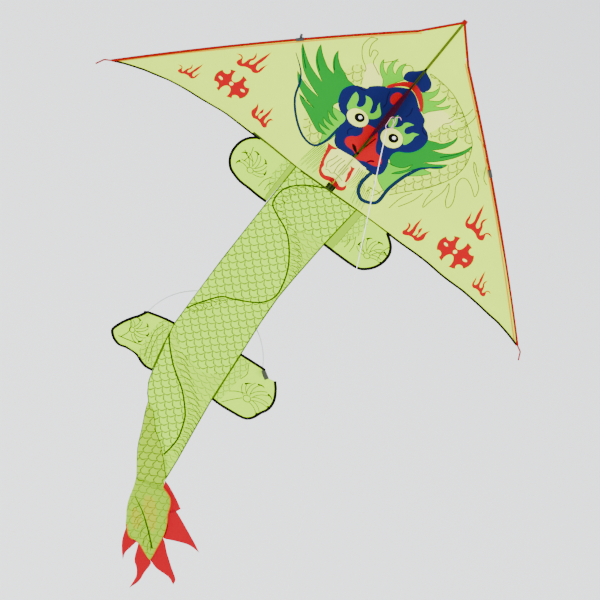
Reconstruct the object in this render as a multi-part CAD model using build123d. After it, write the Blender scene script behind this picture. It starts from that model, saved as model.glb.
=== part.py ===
"""Dragon delta kite: a flat delta sail with folding wings, a keel and flying line, and a long body strip.

The kite stands upright: the spine is vertical, the nose is at the top, the printed belly faces -Y and the
back faces +Y. Outlines are drawn as (across, drop below the nose), and everything is then moved so that the
origin is the tow point, the centre of the keel's eyelet. Units are millimetres.
"""
from build123d import *
import os

# ---- driving dimensions ----
WING_TIP = (800.0, 838.0)      # half the span, and how far the tips lie below the nose
SPAR_START = (90.0, 113.0)     # where a leading-edge spar begins
TEE_AT = (373.0, 387.0)        # where the spreader meets a leading edge
SPINE_ENDS = (21.0, 748.0)     # drops of the spine sleeve's ends
SPINE_Y = 5.4                  # the spine lies against the back of the sail
SEAM_DROP = 762.0              # the seam between sail and body strip
FOLD_FOOT = (122.0, SEAM_DROP)     # a wing folds on the line from its spar's start to here
DIHEDRAL = 2.0                 # degrees that a wing rises behind its fold line
CLOTH = 0.8                    # stand-in thickness of the cloth
GAP = 0.8                      # from a cloth edge to the hinge line beside it
TAPE = 2.4                     # thickness of folded tapes and bindings
TAPE_GAP = 2.6                 # from a thick tape's end to the fold line
SPAR_R = 2.5
SLEEVE_R = 4.2
SLEEVE_BORE_R = 3.5
CAP_R = 3.3
COLLAR_R = 5.5
COLLAR_HALF = 13.0
SPREADER_BACK = 14.0           # the spreader's axis behind the leading-edge spars
HEM = 6.0                      # hem tape along the trailing edge
BINDING = 7.0                  # black tape round the arms
KEEL_ROOT = (217.0, 593.0)     # drops at the ends of the keel's sewn edge
KEEL_APEX = (-120.0, 361.0)    # Y and drop
KEEL_EDGE = 6.0                # tape along the keel's free edges
KEEL_TAPE = 1.6
TOW = (-112.0, 362.0)          # Y and drop of the eyelet's centre
EYELET_R = 6.0
EYELET_BORE_R = 3.2
LOOP_LENGTH = 44.0             # thread loop through the eyelet
LOOP_HALF_WIDTH = 9.0
THREAD_R = 0.9
LINE_R = 1.0                   # braided flying line
LINE_END = (564.0, -1000.0, -1547.0)
KNOT_R = 3.0
RING_R = 14.0
RING_BORE_R = 11.0
RING_THICK = 3.0
BOW_R = 1.5                    # bent rod that spreads the lower arms
BOW_LEFT = (-203.0, 4.0, -1504.0)
BOW_TOP = (-5.0, 110.0, -1344.0)
BOW_RIGHT = (209.0, 4.0, -1434.0)

# ---- outlines of the body strip and tail, as (across, drop), each panel from its upper hinge line down ----
PANEL_1 = [(-121.2, 763), (121.2, 763), (129.4, 928), (-129.4, 928)]
PANEL_2 = [(-126, 930), (106, 930), (97, 1180), (-124, 1180)]
PANEL_3 = [(-124, 1182), (97, 1182), (116, 1396), (-117, 1440)]
PANEL_4 = [(-117, 1442), (116, 1398), (145, 1634), (-67, 1674)]
PANEL_5 = [(-66, 1676), (146, 1636), (180, 1873), (189, 1954), (-18, 1757)]
TAIL_FOLD = [(-19, 1759), (189, 1957), (200, 1983), (108, 2009), (53, 1926), (24, 1860), (-6, 1795)]
LEAF = [
    (108, 2011), (200, 1985), (242, 2003), (269, 2050), (286, 2083), (306, 2142), (320, 2240),
    (254, 2214), (228, 2214), (192, 2190), (169, 2159), (135, 2092),
]
FINS = {
    "fin_1": [(204.5, 1985), (197.5, 1970), (290, 2021), (286, 2038), (271.5, 2050), (244.5, 2001)],
    "fin_2": [
        (289, 2084), (273, 2054), (287.5, 2041), (350, 2067), (431, 2115), (389, 2111), (345, 2121),
        (310, 2140)],
    "fin_3": [(308, 2143), (349, 2182), (425, 2245), (430, 2264), (401, 2251), (353, 2252), (322, 2240)],
    "fin_4": [(320, 2243), (334, 2252), (337, 2330), (324, 2372), (319, 2318), (278, 2271), (256, 2217)],
    "fin_5": [(191, 2192), (228, 2216), (247, 2217), (240, 2262), (252, 2296), (218, 2255), (184, 2184)],
}


os.makedirs("parts", exist_ok=True)


# ---- helpers ----
def node(name, *shapes):
    """Write one sub-part, moved so that the tow point is the origin."""
    solids = []
    for shape in shapes:
        solids += shape.moved(Location((0, -TOW[0], TOW[1]))).solids()
    export_step(Compound(children=solids) if len(solids) > 1 else solids[0], f"parts/{name}.step")


def area(corners):
    """A flat face from its corners, which are (across, drop)."""
    return make_face(Polyline(*[(x, -drop) for x, drop in corners], close=True))


def disc(x, drop, radius):
    return Pos(x, -drop) * Circle(radius)


def upright(face, thick=CLOTH, y=0.0):
    """Thicken a flat face and stand it up in the XZ plane at the given Y."""
    return Pos(0, y, 0) * Rot(90, 0, 0) * extrude(face, thick / 2, both=True)


def rod(path, radius, bore=0.0):
    """A round rod or tube along an edge or wire."""
    section = Circle(radius) - Circle(bore) if bore else Circle(radius)
    return sweep(Plane(origin=path @ 0, z_dir=path % 0) * section, path=path)


def bar(start, end, radius, bore=0.0):
    return rod(Line(start, end), radius, bore)


def fold_x(drop):
    """How far out the fold line is at a drop."""
    (x0, d0), (x1, d1) = SPAR_START, FOLD_FOOT
    return x0 + (drop - d0) * (x1 - x0) / (d1 - d0)


# The right wing's fold line, upwards: a positive turn about it folds the wing back.
FOLD = Axis((SPAR_START[0], 0, -SPAR_START[1]),
            (SPAR_START[0] - FOLD_FOOT[0], 0, FOLD_FOOT[1] - SPAR_START[1]))


def lifted(shape):
    """A piece of the right wing, drawn flat, raised to its dihedral."""
    return shape.rotate(FOLD, DIHEDRAL)


# ---- sail ----
leading_edge = ThreePointArc(*[(x, -drop) for x, drop in (SPAR_START, TEE_AT, WING_TIP)])
edge_length = leading_edge.length
tee_u = leading_edge.param_at_point((TEE_AT[0], -TEE_AT[1]))


def along(edge, start, end):
    """Part of the leading edge between two distances from its upper end."""
    return edge.trim(start / edge_length, end / edge_length)


def trailing_edge(raised):
    """A large face whose lower border is the trailing edge, raised by a distance."""
    curve = Spline(*[(x, raised - drop) for x, drop in (
        (0, 762), (122, 762), (260, 765), (400, 769), (540, 779), (620, 789), (698, 804), (756, 823),
        (798, 840))])
    return make_face([curve, Polyline(curve @ 1, (900, -860 + raised), (900, 0), (0, 0), curve @ 0)])


def inside_leading_edge():
    """Everything below the sleeve's inner side."""
    centre = leading_edge.arc_center
    inner = [centre + (leading_edge @ u - centre) * (1 - SLEEVE_R / leading_edge.radius) for u in (0, 0.5, 1)]
    arc = ThreePointArc(*inner)
    foot = -900.0
    return make_face([arc, Polyline(arc @ 1, ((arc @ 1).X, foot), ((arc @ 0).X, foot), arc @ 0)])


def outboard(gap):
    """Everything on the wing's side of the fold line."""
    return area([(fold_x(100) + gap, 100), (850, 100), (850, 950), (fold_x(950) + gap, 950)])


def standing(shape):
    """Stand up a solid that was drawn along a curve in the XY plane."""
    return Rot(90, 0, 0) * shape


def edge_tube(start, end, radius, bore=0.0):
    """A tube on the leading edge, between two distances from its upper end."""
    return standing(rod(leading_edge.trim(start / edge_length, end / edge_length), radius, bore))


tee_at = tee_u * edge_length
sail_face = outboard(GAP) & inside_leading_edge() & trailing_edge(HEM)
hem_face = (outboard(TAPE_GAP) & inside_leading_edge() & trailing_edge(0)) - trailing_edge(HEM)

# The upper arm is a strip with a round end, sewn to the trailing edge.
ARM_END = (218.0, 846.0, 82.0)    # centre and radius of its round end


def upper_arm(inset):
    """The right upper arm before the trailing edge is cut away, inset from its free edges."""
    x, drop, radius = ARM_END
    foot = drop + radius - inset
    return area([(100, 700), (x, 700), (x, foot), (100, foot)]) + disc(x, drop, radius - inset)


arm_outline = upper_arm(0)
arm_inner = upper_arm(BINDING)
arm_face = (arm_inner & outboard(GAP)) - trailing_edge(0)
arm_band = ((arm_outline - arm_inner) & outboard(TAPE_GAP)) - trailing_edge(0)

# The tape left long beyond the wing tip.
tip = leading_edge @ 1
tip_path = FilletPolyline(tip, tip + Vector(21, -13), tip + Vector(34, -42), radius=14)

collar = edge_tube(tee_at - COLLAR_HALF, tee_at + COLLAR_HALF, COLLAR_R, SPAR_R)
collar_room = edge_tube(tee_at - COLLAR_HALF, tee_at + COLLAR_HALF, COLLAR_R)
wing_pieces = {
    "sail": upright(sail_face) - collar_room,
    "hem": upright(hem_face, TAPE),
    "le_sleeve_upper": edge_tube(14, tee_at - COLLAR_HALF - 1, SLEEVE_R, SLEEVE_BORE_R),
    "le_sleeve_lower": edge_tube(tee_at + COLLAR_HALF + 1, edge_length, SLEEVE_R, SLEEVE_BORE_R),
    "le_spar": edge_tube(18, edge_length - 4, SPAR_R),
    "spar_cap": edge_tube(15, 30, CAP_R, SPAR_R),
    "tip_tape": standing(rod(tip_path, SPAR_R)),
    "arm_upper": upright(arm_face),
    "arm_upper_binding": upright(arm_band, TAPE),
}
for name, piece in wing_pieces.items():
    node(f"{name}_right", lifted(piece))
    node(f"{name}_left", mirror(lifted(piece), about=Plane.YZ))

# ---- spreader and the tees that hold it ----
seat = lifted(Vertex(TEE_AT[0], SPREADER_BACK, -TEE_AT[1])).center()    # where its axis meets the right tee
pivot = Vector(-seat.X, seat.Y, seat.Z)
tip_point = lifted(Vertex(WING_TIP[0], 0, -WING_TIP[1])).center()
tee_point = lifted(Vertex(TEE_AT[0], 0, -TEE_AT[1])).center()
# Folded, the spreader lies beside the left spar, so it turns about the line midway between the two.
outward = (tip_point - tee_point).normalized()
swing = (Vector(1, 0, 0) + Vector(-outward.X, outward.Y, outward.Z)).normalized() * -1
PIN_R = 1.5
EYE_R = 4.5
EYE_HALF = 4.9
EYE_BORE_R = 1.55
LUG_NEAR = 5.2
LUG_FAR = 12.0
swing_frame = Plane(origin=pivot, x_dir=(0, 1, 0), z_dir=swing)
lug_middle = (LUG_NEAR + LUG_FAR) / 2
lug = Pos(-(SPREADER_BACK - 4) / 2, 0, lug_middle) * Box(SPREADER_BACK + 4, 8, LUG_FAR - LUG_NEAR)
lug = swing_frame * lug
pin = bar(pivot - swing * LUG_NEAR, pivot + swing * lug_middle, PIN_R)
pin_head = bar(pivot - swing * (LUG_NEAR + 1.5), pivot - swing * LUG_NEAR, 2.4)
left_collar = mirror(lifted(collar), about=Plane.YZ)
bore_right = lifted(edge_tube(tee_at - 2 * COLLAR_HALF, tee_at + 2 * COLLAR_HALF, SPAR_R))
bore_left = mirror(bore_right, about=Plane.YZ)
node("tee_left", left_collar + (lug - bore_left) + pin + pin_head)

ROD_END = seat.X - 8
CHANNEL = (seat.X - 28, seat.X - 4)
slot_r = SPAR_R + 0.3
channel = Pos((CHANNEL[0] + CHANNEL[1]) / 2, seat.Y, seat.Z) * Box(CHANNEL[1] - CHANNEL[0], 11, 11)
channel -= bar((CHANNEL[0] - 1, seat.Y, seat.Z), (CHANNEL[1] - 2, seat.Y, seat.Z), slot_r)
channel -= Pos((CHANNEL[0] + CHANNEL[1] - 3) / 2, seat.Y + 5, seat.Z) * Box(
    CHANNEL[1] - CHANNEL[0] - 1, 10, 2 * slot_r)
neck = Pos(seat.X - 5, seat.Y - 8.5, seat.Z) * Box(12, 6.5, 8)
node("tee_right", lifted(collar) + channel + (neck - bore_right))

along_x = Vector(1, 0, 0)
SOCKET = (8.0, 34.0)    # the swivel's tube grips the rod between these distances from the pivot
swivel = swing_frame * Cylinder(EYE_R, 2 * EYE_HALF) + bar(pivot, pivot + along_x * SOCKET[1], SPAR_R + 1)
swivel -= bar(pivot - swing * 20, pivot + swing * 20, EYE_BORE_R)
swivel -= bar(pivot + along_x * SOCKET[0], pivot + along_x * (SOCKET[1] + 1), SPAR_R)
swivel -= swing_frame * Pos(0, 0, EYE_HALF + 5) * Cylinder(20, 10)
node("spreader_swivel", swivel)
cap_start = Vector(ROD_END - 10, seat.Y, seat.Z)
node("spreader_rod", bar(pivot + along_x * SOCKET[0], cap_start, SPAR_R))
node("spreader_cap", bar(cap_start, (ROD_END, seat.Y, seat.Z), SPAR_R))

# ---- centre of the sail, spine and nose ----
centre_half = area([(0, 9.6), (85.8, 112.2), (fold_x(115) - GAP, 115), (fold_x(757) - GAP, 757), (0, 757)])
node("sail_centre", upright(centre_half + mirror(centre_half, about=Plane.YZ)))
node("seam_tape", upright(area([(-118.8, 757), (118.8, 757), (118.8, 763), (-118.8, 763)]), TAPE))
node("body_panel_1", upright(area(PANEL_1)))
nose_tape = area([(0.2, -3), (92, 107), (85.8, 112.2), (0.2, 9.4)])
node("nose_binding_right", upright(nose_tape, TAPE))
node("nose_binding_left", mirror(upright(nose_tape, TAPE), about=Plane.YZ))
nose_cap = upright(area([(-7, -5.5), (7, -5.5), (9, 9), (-9, 9)]), TAPE + 2)
node("nose_cap", nose_cap - upright(area([(-20, -3.1), (20, -3.1), (20, 20), (-20, 20)]), TAPE + 0.1))


def on_spine(start, end, radius, bore=0.0):
    return bar((0, SPINE_Y, -start), (0, SPINE_Y, -end), radius, bore)


SPINE_SLEEVE_R = SPINE_Y - CLOTH / 2
SPINE_BORE_R = 4.0
node("spine_sleeve", on_spine(*SPINE_ENDS, SPINE_SLEEVE_R, SPINE_BORE_R))
node("spine_rod", on_spine(SPINE_ENDS[0] + 3, SPINE_ENDS[1], SPAR_R))
node("spine_cap", on_spine(SPINE_ENDS[1] - 10, SPINE_ENDS[1], SPINE_BORE_R, SPAR_R)
     + on_spine(SPINE_ENDS[1], SPINE_ENDS[1] + 3, SPINE_SLEEVE_R))
POCKET = (711.0, 747.0)
pocket_middle = -(POCKET[0] + POCKET[1]) / 2
pocket_height = POCKET[1] - POCKET[0]
POCKET_FRONT = 0.8    # Y of its side flaps, which lie on the sail
pocket_deep = SPINE_Y + SPINE_SLEEVE_R + 1.2 - POCKET_FRONT
pocket = Pos(0, POCKET_FRONT + pocket_deep / 2, pocket_middle) * Box(13, pocket_deep, pocket_height)
pocket += Pos(0, POCKET_FRONT + 0.5, pocket_middle) * Box(32, 1, pocket_height)
node("spine_pocket", pocket - on_spine(POCKET[0] - 1, POCKET[1] + 1, SPINE_SLEEVE_R + 0.05))

# ---- keel ----
(root_top, root_foot), (apex_y, apex_drop) = KEEL_ROOT, KEEL_APEX
KEEL_START = -1.5    # Y of its sewn edge
reach = (50.0 - KEEL_START) / (KEEL_START - apex_y)
tall = area([
    (50, root_top - (apex_drop - root_top) * reach), KEEL_APEX,
    (50, root_foot + (root_foot - apex_drop) * reach)])
front = area([(KEEL_START, 100), (-200, 100), (-200, 700), (KEEL_START, 700)])
eyelet_hole = disc(*TOW, EYELET_R)
keel_outline = (tall & front) - eyelet_hole
keel_face = (offset(tall, -KEEL_EDGE, kind=Kind.INTERSECTION) & front) - eyelet_hole


def sideways(face, thick):
    """Thicken a face drawn as (Y, drop) and stand it in the YZ plane."""
    return extrude(Plane.YZ * face, thick / 2, both=True)


node("keel", sideways(keel_face, CLOTH))
node("keel_binding", sideways(keel_outline - keel_face, KEEL_TAPE))
node("keel_eyelet", sideways(eyelet_hole - disc(*TOW, EYELET_BORE_R), 3))

# ---- thread loop, knots, flying line and the ring at its far end ----
tow = Vector(0, TOW[0], -TOW[1])
pull = Vector(0, -0.6, -0.8)
side = Vector(LOOP_HALF_WIDTH, 0, 0)
loop_near = tow + pull * LOOP_HALF_WIDTH
loop_far = tow + pull * (LOOP_LENGTH - LOOP_HALF_WIDTH)
loop_path = Wire([
    ThreePointArc(loop_near - side, tow, loop_near + side), Line(loop_near + side, loop_far + side),
    ThreePointArc(loop_far + side, tow + pull * LOOP_LENGTH, loop_far - side),
    Line(loop_far - side, loop_near - side)])
loop = sweep(Plane(origin=loop_path @ 0, z_dir=loop_path % 0) * Circle(THREAD_R), path=loop_path)
knot_at = tow + pull * (LOOP_LENGTH + 2)
line_end = Vector(*LINE_END)
run = (line_end - knot_at).normalized()
line = bar(knot_at, line_end, LINE_R)
node("tow_loop", loop)
node("tow_knot", Pos(*knot_at) * Sphere(KNOT_R) - loop - line)
node("flying_line", line)
node("line_end_knot", Pos(*line_end) * Sphere(KNOT_R) - line)
ring_frame = Plane(origin=line_end + run * (KNOT_R + RING_R), x_dir=run, z_dir=run.cross(Vector(1, 0, 0)))
node("line_ring", ring_frame * (Cylinder(RING_R, RING_THICK) - Cylinder(RING_BORE_R, RING_THICK)))

# ---- body strip, lower arms and tail ----
node("body_panel_2", upright(area(PANEL_2)))
node("body_panel_3", upright(area(PANEL_3)))
node("body_panel_4", upright(area(PANEL_4)))
node("body_panel_5", upright(area(PANEL_5)))
node("tail_fold", upright(area(TAIL_FOLD)))
node("tail_leaf", upright(area(LEAF)))
for name, corners in FINS.items():
    node(name, upright(area(corners)))

LOWER_ARM_END = (209.0, 1518.0, 94.0)


def lower_arm(inset):
    """The right lower arm: a strip with a round end, inset from its free edges."""
    x, drop, radius = LOWER_ARM_END
    strip = area([(100, drop - radius + inset), (x, drop - radius + inset), (x, drop + radius - inset),
                  (100, drop + radius - inset)])
    body_side = area([(0, 1300), (104.4, 1300), (150.4, 1674), (0, 1700)])
    return (strip + disc(x, drop, radius - inset)) - body_side


left_outline = area([
    (-111, 1472), (-205, 1494), (-232, 1550), (-256, 1612), (-240, 1638), (-146, 1643), (-71.6, 1655)])
left_inner = area([
    (-109.5, 1479), (-200, 1500.5), (-225.6, 1552.5), (-248, 1610), (-236, 1631), (-146, 1636),
    (-73.1, 1648)])
node("arm_lower_right", upright(lower_arm(BINDING)))
node("arm_lower_right_binding", upright(lower_arm(0) - lower_arm(BINDING), TAPE))
node("arm_lower_left", upright(left_inner))
node("arm_lower_left_binding", upright(left_outline - left_inner, TAPE))

bow_path = ThreePointArc(BOW_LEFT, BOW_TOP, BOW_RIGHT)
bow = rod(bow_path, BOW_R)
node("bow_rod", bow)
pocket_back = BOW_LEFT[1] + BOW_R + 1.4
for name, end in (("bow_pocket_left", BOW_LEFT), ("bow_pocket_right", BOW_RIGHT)):
    block = Pos(end[0], (TAPE / 2 + pocket_back) / 2, end[2]) * Box(20, pocket_back - TAPE / 2, 14)
    node(name, block - bow)

# ---- placement, printed for the record ----
print("wing fold", FOLD.position, FOLD.direction)
print("pivot", pivot, "swing axis", swing, "seat", seat)
print("line run", run, "length", (line_end - knot_at).length)
print("ring centre", ring_frame.origin, ring_frame.z_dir)
print("loop length", loop_path.length, "knot", knot_at)
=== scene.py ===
"""Dragon kite: the cloth, its print, the tapes, the flying line, the finishes, the light and the camera.

Places in the tables are in millimetres, as (across, drop below the nose). at() turns them into metres.
"""
from math import cos, exp, hypot, pi, radians, sin

import bpy
import numpy as np
from mathutils import Matrix, Vector
from mathutils.geometry import delaunay_2d_cdt


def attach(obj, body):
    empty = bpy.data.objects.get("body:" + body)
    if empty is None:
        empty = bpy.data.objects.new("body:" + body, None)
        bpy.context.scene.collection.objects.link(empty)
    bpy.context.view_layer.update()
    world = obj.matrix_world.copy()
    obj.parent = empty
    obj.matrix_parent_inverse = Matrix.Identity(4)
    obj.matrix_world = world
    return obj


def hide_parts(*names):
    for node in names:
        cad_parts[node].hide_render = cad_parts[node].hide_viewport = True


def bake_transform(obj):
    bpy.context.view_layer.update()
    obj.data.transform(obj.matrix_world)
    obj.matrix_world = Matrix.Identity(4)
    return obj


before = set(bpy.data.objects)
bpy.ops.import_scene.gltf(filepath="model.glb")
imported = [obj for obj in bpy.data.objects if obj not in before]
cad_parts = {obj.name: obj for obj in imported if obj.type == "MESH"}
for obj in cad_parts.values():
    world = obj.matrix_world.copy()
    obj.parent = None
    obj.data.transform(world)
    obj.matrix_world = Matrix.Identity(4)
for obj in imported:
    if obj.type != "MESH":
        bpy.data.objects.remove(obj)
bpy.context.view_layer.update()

TOW_Y, TOW_DROP = -112.0, 362.0    # the tow point is the frame's origin
SIDES = ((-1, "left"), (1, "right"))


def at(x, drop, y=0.0):
    """A place in the frame, in metres, from millimetres across, below the nose and behind the spine."""
    return Vector((x, y - TOW_Y, TOW_DROP - drop)) / 1000


def add_object(name, data):
    obj = bpy.data.objects.new(name, data)
    bpy.context.collection.objects.link(obj)
    return obj


# ---- camera ----
camera = add_object("camera", bpy.data.cameras.new("camera"))
camera.data.lens = 571.27
camera.data.sensor_width = 36
camera.data.clip_end = 200
right, up = Vector((0.80993, 0.15112, 0.56672)), Vector((-0.56685, 0.44983, 0.69017))
back = right.cross(up)
turned = Matrix((right, up, back)).transposed().to_4x4()
camera.matrix_world = Matrix.Translation((-4.4436, -26.7679, 12.9622)) @ turned
bpy.context.scene.camera = camera

# ---- surface of the cloth ----
FOLD_TOP, FOLD_FOOT = (90.0, 113.0), (122.0, 762.0)
DIHEDRAL = radians(2)
fold_length = hypot(FOLD_FOOT[0] - FOLD_TOP[0], FOLD_FOOT[1] - FOLD_TOP[1])
FOLD_OUT = ((FOLD_FOOT[1] - FOLD_TOP[1]) / fold_length, -(FOLD_FOOT[0] - FOLD_TOP[0]) / fold_length)


def beyond_fold(x, drop):
    """How far a point of the sail lies outside the fold line, in the cloth."""
    return (abs(x) - FOLD_TOP[0]) * FOLD_OUT[0] + (drop - FOLD_TOP[1]) * FOLD_OUT[1]


def trailing_drop(x):
    """The drop of the sail's trailing edge."""
    return float(np.interp(abs(x), (0, 122, 260, 400, 540, 620, 698, 756, 798),
                           (762, 762, 765, 769, 779, 789, 804, 823, 840)))


def billow(x, drop):
    """How far the loose cloth stands behind its wing's plane: the left one's foot lifts, the right sinks."""
    out = beyond_fold(x, drop)
    if out <= 0:
        return 0.0
    above = trailing_drop(x) - drop
    near_edge = exp(-max(above, 0) / 75)
    along = max(0.0, sin(pi * min(1.0, out / 690)))
    flutter = 3.5 * sin(abs(x) / 31 + (1.1 if x < 0 else 2.4)) * exp(-max(above, 0) / 40)
    lift = 30 if x < 0 else -15 * (1 + 0.9 * max(0.0, (out - 300) / 300))
    return along * (lift * near_edge + flutter) + 2.0 * sin(x / 95 + drop / 130) * min(1, out / 150) * along


def sail_point(x, drop):
    out = max(0.0, beyond_fold(x, drop))
    return at(x, drop, out * sin(DIHEDRAL) + billow(x, drop))


def ripple(x, drop):
    """Slow waves of the hanging body strip."""
    return 5 * sin(drop / 115 + 0.6) * sin((x + 130) / 90) * min(1, max(0, drop - 790) / 120)


def body_point(x, drop):
    return at(x, drop, ripple(x, drop))


# ---- drawing helpers ----
def smooth(points, closed=True, steps=4):
    """A curve through the points; a third value of 1 marks a sharp corner."""
    n = len(points)
    p = [Vector(q[:2]) for q in points]
    sharp = [len(q) > 2 for q in points]
    if not closed:
        sharp[0] = sharp[-1] = True
    line = []
    for i in range(n if closed else n - 1):
        a, b = p[i], p[(i + 1) % n]
        before, after = p[i - 1], p[(i + 2) % n]
        ta = (b - a) if sharp[i] else (b - before) / 2
        tb = (b - a) if sharp[(i + 1) % n] else (after - a) / 2
        for k in range(steps):
            t = k / steps
            t2, t3 = t * t, t * t * t
            q = a * (2 * t3 - 3 * t2 + 1) + ta * (t3 - 2 * t2 + t) + b * (3 * t2 - 2 * t3) + tb * (t3 - t2)
            line.append((q.x, q.y))
    if not closed:
        line.append(tuple(p[-1]))
    return line


def stroke(points, width, steps=3):
    """The outline of a drawn line; width is one number or one for each end."""
    line = [Vector(q) for q in smooth(points, False, steps)]
    w0, w1 = width if isinstance(width, tuple) else (width, width)
    left, right_side = [], []
    for i, q in enumerate(line):
        d = (line[min(i + 1, len(line) - 1)] - line[max(i - 1, 0)]).normalized()
        w = w0 + (w1 - w0) * i / (len(line) - 1)
        n = Vector((-d.y, d.x)) * w / 2
        left.append(tuple(q + n))
        right_side.append(tuple(q - n))
    return left + right_side[::-1]


def oval(x, drop, rx, ry, tilt=0.0, count=28):
    c, s = cos(radians(tilt)), sin(radians(tilt))
    turns = [2 * pi * k / count for k in range(count)]
    return [(x + rx * cos(t) * c - ry * sin(t) * s, drop + rx * cos(t) * s + ry * sin(t) * c) for t in turns]


def inside(px, pz, polygon):
    """Which of the points lie in the polygon."""
    hit = np.zeros(len(px), bool)
    q = np.array(polygon)
    x0, z0 = q[:, 0], q[:, 1]
    x1, z1 = np.roll(x0, -1), np.roll(z0, -1)
    box = (px >= x0.min()) & (px <= x0.max()) & (pz >= z0.min()) & (pz <= z0.max())
    idx = np.nonzero(box)[0]
    sx, sz = px[idx], pz[idx]
    inner = np.zeros(len(idx), bool)
    for a, b, c, d in zip(x0, z0, x1, z1):
        if b == d:
            continue
        cross = ((b > sz) != (d > sz)) & (sx < (c - a) * (sz - b) / (d - b) + a)
        inner ^= cross
    hit[idx] = inner
    return hit


def cloth(name, outline, prints, surface, ground, grid=14.0):
    """One piece of cloth: a flat outline, filled with triangles that follow the edges of its print."""
    o = np.array(outline)
    lo, hi = o.min(0), o.max(0)
    coords, edges = [], []

    def add(loop):
        start = len(coords)
        coords.extend(Vector(q) for q in loop)
        edges.extend((start + k, start + (k + 1) % len(loop)) for k in range(len(loop)))

    def fine(loop, longest=18.0):
        full = []
        for k, a in enumerate(loop):
            b = loop[(k + 1) % len(loop)]
            m = max(1, int(hypot(b[0] - a[0], b[1] - a[1]) / longest))
            full += [(a[0] + (b[0] - a[0]) * j / m, a[1] + (b[1] - a[1]) * j / m) for j in range(m)]
        return full

    # the outline, the edges of the print and a grid of loose points are what the triangles join
    outline = fine(outline)
    add(outline)
    used = []
    for colour, loop in prints:
        q = np.array(loop)
        if (q.max(0) < lo).any() or (q.min(0) > hi).any():
            continue
        used.append((colour, loop))
        add(loop)
    gx, gz = np.meshgrid(np.arange(lo[0] + grid / 2, hi[0], grid), np.arange(lo[1] + grid / 2, hi[1], grid))
    gx, gz = gx.ravel(), gz.ravel()
    keep = inside(gx, gz, outline)
    coords.extend(Vector((a, b)) for a, b in zip(gx[keep], gz[keep]))
    verts, _, faces, *_ = delaunay_2d_cdt(coords, edges, [], 0, 0.02)
    v = np.array([tuple(q) for q in verts])
    f = np.array([tuple(q) for q in faces if len(q) == 3])
    mid = v[f].mean(1)
    keep = inside(mid[:, 0], mid[:, 1], outline)
    f, mid = f[keep], mid[keep]
    # a triangle takes the last colour drawn over its middle
    slots, index = [ground], np.zeros(len(f), int)
    for colour, loop in used:
        if colour not in slots:
            slots.append(colour)
        index[inside(mid[:, 0], mid[:, 1], loop)] = slots.index(colour)
    # only the points in use are kept, and every triangle faces the same way
    live, f2 = np.unique(f, return_inverse=True)
    f2 = f2.reshape(f.shape)
    a, b, c = (v[live][f2[:, k]] for k in range(3))
    flip = ((b - a)[:, 0] * (c - a)[:, 1] - (b - a)[:, 1] * (c - a)[:, 0]) < 0
    f2[flip] = f2[flip][:, ::-1]
    mesh = bpy.data.meshes.new(name)
    mesh.from_pydata([surface(x, z) for x, z in v[live]], [], f2[:, ::-1].tolist())
    uv = mesh.uv_layers.new(name="UVMap")
    loops = np.zeros(len(mesh.loops), int)
    mesh.loops.foreach_get("vertex_index", loops)
    uv.data.foreach_set("uv", (v[live][loops] / 1000).ravel())
    for s in slots:
        mesh.materials.append(MATERIALS[s])
    mesh.polygons.foreach_set("material_index", index)
    mesh.shade_smooth()
    mesh.update()
    return add_object(name, mesh)


def tape(name, points, width, surface, material, thick):
    """A folded tape along an edge: a flat band with a thickness, following the surface."""
    line = [Vector(q[:2]) for q in points]
    half = thick / 2
    section = ((-1, 0), (-0.85, -half), (0.85, -half), (1, 0), (0.85, half), (-0.85, half))
    verts, faces = [], []
    for i, q in enumerate(line):
        d = (line[min(i + 1, len(line) - 1)] - line[max(i - 1, 0)]).normalized()
        n = Vector((-d.y, d.x)) * width / 2
        base = surface(q.x, q.y)
        for side, proud in section:
            p = q + n * side
            verts.append(base + Vector((p.x - q.x, proud, q.y - p.y)) / 1000)
    ring = len(section)
    for i in range(len(line) - 1):
        for k in range(ring):
            a, b = i * ring + k, i * ring + (k + 1) % ring
            faces.append((a, b, b + ring, a + ring))
    faces += [tuple(range(ring))[::-1], tuple(range((len(line) - 1) * ring, len(line) * ring))]
    mesh = bpy.data.meshes.new(name)
    mesh.from_pydata(verts, [], faces)
    mesh.materials.append(MATERIALS[material])
    mesh.shade_smooth()
    return add_object(name, mesh)


# ---- finishes ----
MATERIALS = {}
CLOTH_ROUGHNESS, CLOTH_SHINE = 0.62, 0.02
THREAD_GRID, THREAD_THICK = 0.005, 0.00035    # the ripstop's thicker threads


def mix(tree, a, b, factor):
    node = tree.nodes.new("ShaderNodeMix")
    node.data_type = "RGBA"
    tree.links.new(factor, node.inputs["Factor"])
    for socket, value in ((node.inputs["A"], a), (node.inputs["B"], b)):
        if isinstance(value, tuple):
            socket.default_value = (*value, 1)
        else:
            tree.links.new(value, socket)
    return node.outputs["Result"]


def calc(tree, kind, a, b=None, c=None):
    node = tree.nodes.new("ShaderNodeMath")
    node.operation = kind
    for socket, value in zip(node.inputs, (a, b, c)):
        if value is None:
            continue
        if isinstance(value, (int, float)):
            socket.default_value = value
        else:
            tree.links.new(value, socket)
    return node.outputs[0]


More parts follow.
